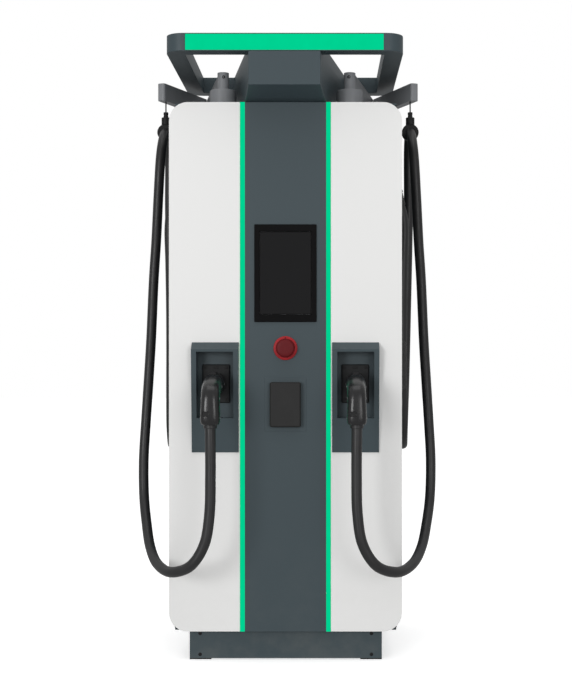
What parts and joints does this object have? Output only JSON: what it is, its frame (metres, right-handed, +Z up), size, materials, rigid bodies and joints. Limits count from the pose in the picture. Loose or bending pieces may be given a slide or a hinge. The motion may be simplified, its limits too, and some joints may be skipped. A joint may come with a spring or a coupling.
{
  "type": "ev charging post",
  "caption": "Floor-standing DC fast-charging post: cabinet on a plinth with touch screen, stop button, side holsters, hung cables on swing arms and a lit roof ring.",
  "frame": {"origin": "on the floor, at the middle of the post's footprint without its cables", "axes": "+Z up, -Y is the front with the screen, +X to the right of a person facing the front"},
  "size_m": [0.9998, 0.866, 1.998],
  "materials": {
    "dark_paint": "satin powder coat",
    "white_paint": "satin powder coat",
    "arm_paint": "grey paint on cast aluminium",
    "zinc_steel": "zinc plated",
    "black_plastic": "fine texture",
    "grey_plastic": "moulded",
    "cable_rubber": "smooth black sheath",
    "green_lens": "lit green diffuser",
    "screen_glass": "dark cover glass",
    "red_plastic": "satin moulded",
    "module_metal": "mill finish"
  },
  "bodies": {
    "root": {"arm_collar_left": "arm_paint", "arm_collar_right": "arm_paint", "cable_gland_left": "cable_rubber", "cable_gland_right": "cable_rubber", "cable_left": "cable_rubber", "cable_right": "cable_rubber", "card_reader": "black_plastic", "controller_board": "grey_plastic", "display_bezel": "black_plastic", "display_glass": "screen_glass", "display_module": "grey_plastic", "distribution_unit": "grey_plastic", "door_hinge": "zinc_steel", "entry_pocket_left": "black_plastic", "entry_pocket_right": "black_plastic", "estop_collar": "red_plastic", "estop_contacts": "black_plastic", "fan_tray": "zinc_steel", "fascia_centre": "dark_paint", "fascia_left": "white_paint", "fascia_right": "white_paint", "floor_plate": "dark_paint", "foot_rail_left": "cable_rubber", "foot_rail_right": "cable_rubber", "holster_left": "dark_paint", "holster_right": "dark_paint", "light_strip_left": "green_lens", "light_strip_right": "green_lens", "lock_escutcheon": "black_plastic", "mains_breaker": "grey_plastic", "mounting_plate": "zinc_steel", "neck_shell": "dark_paint", "plinth_cover_front": "dark_paint", "plinth_frame": "dark_paint", "power_module_lower": "module_metal", "power_module_upper": "module_metal", "ring_light": "green_lens", "roof_plate": "dark_paint", "roof_ring": "dark_paint", "side_panel_left": "dark_paint", "side_panel_right": "dark_paint", "socket_left": "black_plastic", "socket_right": "black_plastic"},
    "rear_door": {"rear_door": "dark_paint", "vent_grille": "dark_paint", "door_handle": "black_plastic"},
    "stop_button": {"estop_button": "red_plastic"},
    "side_lock": {"lock_lever": "black_plastic"},
    "fan_left": {"fan_rotor_left": "black_plastic"},
    "fan_right": {"fan_rotor_right": "black_plastic"},
    "inner_arm_left": {"inner_arm_left": "arm_paint", "elbow_pin_left": "zinc_steel"},
    "outer_arm_left": {"outer_arm_left": "arm_paint", "cable_hanger_left": "black_plastic"},
    "inner_arm_right": {"inner_arm_right": "arm_paint", "elbow_pin_right": "zinc_steel"},
    "outer_arm_right": {"outer_arm_right": "arm_paint", "cable_hanger_right": "black_plastic"},
    "plug_left": {"connector_left": "black_plastic"},
    "plug_right": {"connector_right": "black_plastic"}
  },
  "joints": [
    {"name": "shoulder_left", "type": "hinge", "parent": "root", "child": "inner_arm_left", "pos_m": [-0.209, -0.159, 1.859], "axis": [0, 0, 1], "range_deg": [0, 80], "deforming": ["cable_left"]},
    {"name": "elbow_left", "type": "hinge", "parent": "inner_arm_left", "child": "outer_arm_left", "pos_m": [-0.298, 0.344, 1.859], "axis": [0, 0, -1], "range_deg": [0, 100], "deforming": ["cable_left"]},
    {"name": "shoulder_right", "type": "hinge", "parent": "root", "child": "inner_arm_right", "pos_m": [0.209, -0.159, 1.859], "axis": [0, 0, -1], "range_deg": [0, 80], "deforming": ["cable_right"]},
    {"name": "elbow_right", "type": "hinge", "parent": "inner_arm_right", "child": "outer_arm_right", "pos_m": [0.298, 0.344, 1.859], "axis": [0, 0, 1], "range_deg": [0, 100], "deforming": ["cable_right"]},
    {"name": "plug_left_pull", "type": "slide", "parent": "root", "child": "plug_left", "axis": [0, -1, 0], "range_m": [0, 0.06], "deforming": ["cable_left"]},
    {"name": "plug_right_pull", "type": "slide", "parent": "root", "child": "plug_right", "axis": [0, -1, 0], "range_m": [0, 0.06], "deforming": ["cable_right"]},
    {"name": "stop_press", "type": "slide", "parent": "root", "child": "stop_button", "axis": [0, 1, 0], "range_m": [0, 0.006], "stiffness_N_per_m": 800},
    {"name": "lock_swing", "type": "hinge", "parent": "root", "child": "side_lock", "pos_m": [0.3783, -0.209, 1.02], "axis": [0, -1, 0], "range_deg": [0, 40]},
    {"name": "rear_door_swing", "type": "hinge", "parent": "root", "child": "rear_door", "pos_m": [-0.35, 0.3714, 0.95], "axis": [0, 0, 1], "range_deg": [0, 110]},
    {"name": "fan_left_spin", "type": "hinge", "parent": "root", "child": "fan_left", "pos_m": [-0.1, 0.23, 0.4], "axis": [0, 1, 0], "continuous": true},
    {"name": "fan_right_spin", "type": "hinge", "parent": "root", "child": "fan_right", "pos_m": [0.1, 0.23, 0.4], "axis": [0, 1, 0], "continuous": true}
  ]
}
